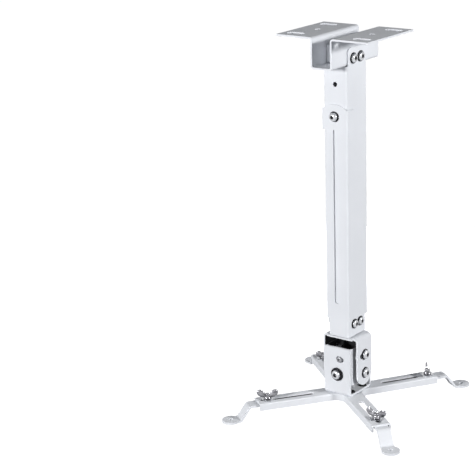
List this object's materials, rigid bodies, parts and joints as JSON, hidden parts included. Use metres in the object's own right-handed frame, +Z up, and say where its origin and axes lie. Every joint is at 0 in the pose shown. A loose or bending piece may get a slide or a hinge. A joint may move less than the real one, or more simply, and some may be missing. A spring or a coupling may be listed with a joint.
{
  "type": "projector mount",
  "caption": "Ceiling mount for a projector: folded bracket, telescopic rectangular column, pan, tilt and roll head, and a cross of slotted arms with sliding feet.",
  "frame": {"origin": "middle of the four ceiling slots, on the flanges' top plane, on the column's axis", "axes": "+Z up to the ceiling along the column, X across the bracket's flanges, front (clamp screw) at -Y"},
  "size_m": [0.2387, 0.2542, 0.4327],
  "materials": {
    "white_coat": "satin",
    "zinc_steel": "satin",
    "bright_steel": "polished",
    "dark_steel": "satin",
    "dark_plastic": "matte"
  },
  "bodies": {
    "ceiling": {"ceiling_bracket": "white_coat", "hanger_spacer": "white_coat", "outer_tube": "white_coat", "hanger_screws": "zinc_steel", "hanger_nuts": "zinc_steel"},
    "inner_column": {"inner_tube": "white_coat", "clamp_saddle": "white_coat", "clamp_screw": "zinc_steel", "clamp_nut": "zinc_steel", "column_screws": "zinc_steel", "column_nuts": "zinc_steel", "swivel_seat": "white_coat", "swivel_washer": "dark_plastic", "swivel_bolt": "zinc_steel", "swivel_nut": "zinc_steel"},
    "pan_yoke": {"upper_yoke": "white_coat"},
    "tilt_block": {"gimbal_block": "white_coat", "tilt_pivot_screws": "zinc_steel", "tilt_pivot_nuts": "zinc_steel", "tilt_pivot_bushes": "zinc_steel", "tilt_lock_screws": "zinc_steel", "tilt_lock_nuts": "zinc_steel", "tilt_lock_bushes": "zinc_steel", "roll_pivot_screws": "zinc_steel", "roll_pivot_nuts": "zinc_steel", "roll_washers": "dark_steel", "roll_lock_screws": "zinc_steel"},
    "roll_yoke": {"lower_yoke": "white_coat", "spider": "white_coat", "hub_bolt": "zinc_steel", "hub_nut": "zinc_steel"},
    "leg_right": {"leg_right": "white_coat", "leg_nut_right": "zinc_steel", "wing_washer_right": "zinc_steel"},
    "wing_right": {"wing_screw_right": "bright_steel"},
    "leg_far": {"leg_far": "white_coat", "leg_nut_far": "zinc_steel", "wing_washer_far": "zinc_steel"},
    "wing_far": {"wing_screw_far": "bright_steel"},
    "leg_left": {"leg_left": "white_coat", "leg_nut_left": "zinc_steel", "wing_washer_left": "zinc_steel"},
    "wing_left": {"wing_screw_left": "bright_steel"},
    "leg_near": {"leg_near": "white_coat", "leg_nut_near": "zinc_steel", "wing_washer_near": "zinc_steel"},
    "wing_near": {"wing_screw_near": "bright_steel"}
  },
  "joints": [
    {"name": "extension", "type": "slide", "parent": "ceiling", "child": "inner_column", "axis": [0, 0, -1], "range_m": [0, 0.21]},
    {"name": "pan", "type": "hinge", "parent": "inner_column", "child": "pan_yoke", "pos_m": [0, 0, -0.3455], "axis": [0, 0, 1], "continuous": true},
    {"name": "tilt", "type": "hinge", "parent": "pan_yoke", "child": "tilt_block", "pos_m": [0, 0, -0.388], "axis": [1, 0, 0], "range_deg": [-15, 15]},
    {"name": "roll", "type": "hinge", "parent": "tilt_block", "child": "roll_yoke", "pos_m": [0, 0, -0.388], "axis": [0, 1, 0], "range_deg": [-6, 6]},
    {"name": "leg_slide_right", "type": "slide", "parent": "roll_yoke", "child": "leg_right", "axis": [0.5519, 0.8339, 0], "range_m": [-0.056, 0.0005]},
    {"name": "wing_turn_right", "type": "hinge", "parent": "leg_right", "child": "wing_right", "pos_m": [0.05575, 0.08422, -0.4125], "axis": [0, 0, 1], "continuous": true},
    {"name": "leg_slide_far", "type": "slide", "parent": "roll_yoke", "child": "leg_far", "axis": [-0.7771, 0.6293, 0], "range_m": [-0.052, 0.0045]},
    {"name": "wing_turn_far", "type": "hinge", "parent": "leg_far", "child": "wing_far", "pos_m": [-0.07538, 0.06104, -0.4125], "axis": [0, 0, 1], "continuous": true},
    {"name": "leg_slide_left", "type": "slide", "parent": "roll_yoke", "child": "leg_left", "axis": [-0.5948, -0.8039, 0], "range_m": [-0.052, 0.0045]},
    {"name": "wing_turn_left", "type": "hinge", "parent": "leg_left", "child": "wing_left", "pos_m": [-0.0577, -0.07797, -0.4125], "axis": [0, 0, 1], "continuous": true},
    {"name": "leg_slide_near", "type": "slide", "parent": "roll_yoke", "child": "leg_near", "axis": [0.7934, -0.6088, 0], "range_m": [-0.0485, 0.008]},
    {"name": "wing_turn_near", "type": "hinge", "parent": "leg_near", "child": "wing_near", "pos_m": [0.07418, -0.05692, -0.4125], "axis": [0, 0, 1], "continuous": true}
  ]
}
